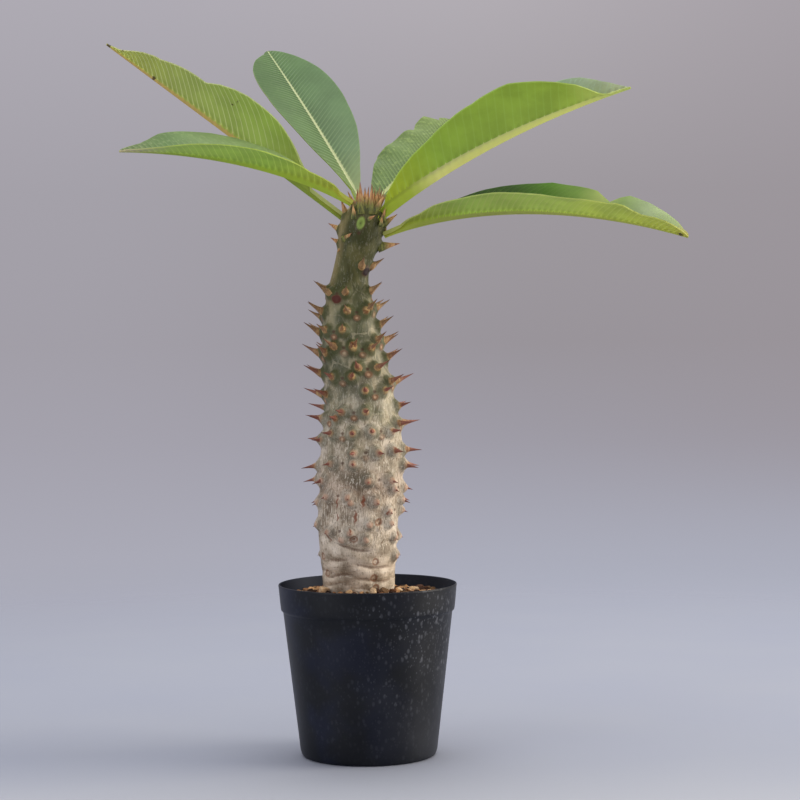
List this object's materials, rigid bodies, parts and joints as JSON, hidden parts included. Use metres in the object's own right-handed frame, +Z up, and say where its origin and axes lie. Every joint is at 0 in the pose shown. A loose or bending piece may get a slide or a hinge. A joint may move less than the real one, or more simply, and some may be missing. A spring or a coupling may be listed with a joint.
{
  "type": "potted pachypodium baronii",
  "caption": "Young potted pachypodium: a thick spiny stem with long folded leaves round its tip, in gritty soil in a round tapered nursery pot.",
  "frame": {"origin": "centre of the pot's underside, on the flat disc in the middle of its base, level with its foot ring", "axes": "+Z up along the pot's axis; +X to the picture's right; -Y towards the viewer"},
  "size_m": [0.3369, 0.1784, 0.4286],
  "materials": {
    "pot": "satin black plastic with dust and dried water spots",
    "soil": "dry porous clay and pumice grains",
    "stem": "silvery fissured bark below, olive green skin above, red-brown horny spines",
    "leaf": "smooth leathery blade, darker above, pale yellow-green below, with a pale rib"
  },
  "bodies": {
    "root": {"pot": "pot", "soil": "soil", "stem": "stem", "leaf_far_left": "leaf", "leaf_low_left": "leaf", "leaf_back_left": "leaf", "leaf_back_right": "leaf", "leaf_high_right": "leaf", "leaf_low_right": "leaf"}
  },
  "joints": []
}
